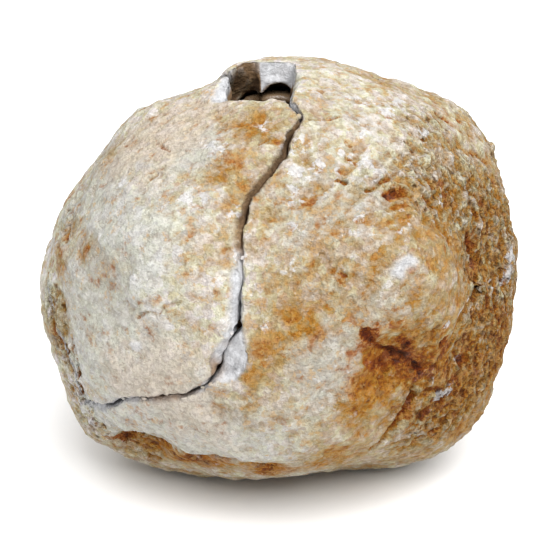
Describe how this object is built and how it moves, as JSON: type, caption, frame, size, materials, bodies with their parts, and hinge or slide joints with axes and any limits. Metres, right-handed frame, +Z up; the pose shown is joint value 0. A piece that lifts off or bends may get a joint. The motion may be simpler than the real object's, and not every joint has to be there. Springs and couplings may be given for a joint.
{
  "type": "cracked geode",
  "caption": "Hollow lumpy stone with a crystal-lined cavity, cracked all round into a main shell and a loose piece, with a chip missing at the top.",
  "frame": {"origin": "under the middle of the stone, on the surface it rests on", "axes": "+X along the stone's width, to the right of the face with the crack; +Y from that face to the back; +Z up"},
  "size_m": [0.0696, 0.0662, 0.0604],
  "materials": {
    "tan_rind": "dry, chalky and pitted, tan with ochre and rust stains",
    "pale_rind": "dry and chalky, cream with ochre stains and grey-white bleaching",
    "stained_quartz": "small sugary crystals, stained brown, glinting"
  },
  "bodies": {
    "root": {"main_shell": "tan_rind", "loose_piece": "pale_rind", "main_crystals": "stained_quartz", "loose_piece_crystals": "stained_quartz"}
  },
  "joints": []
}
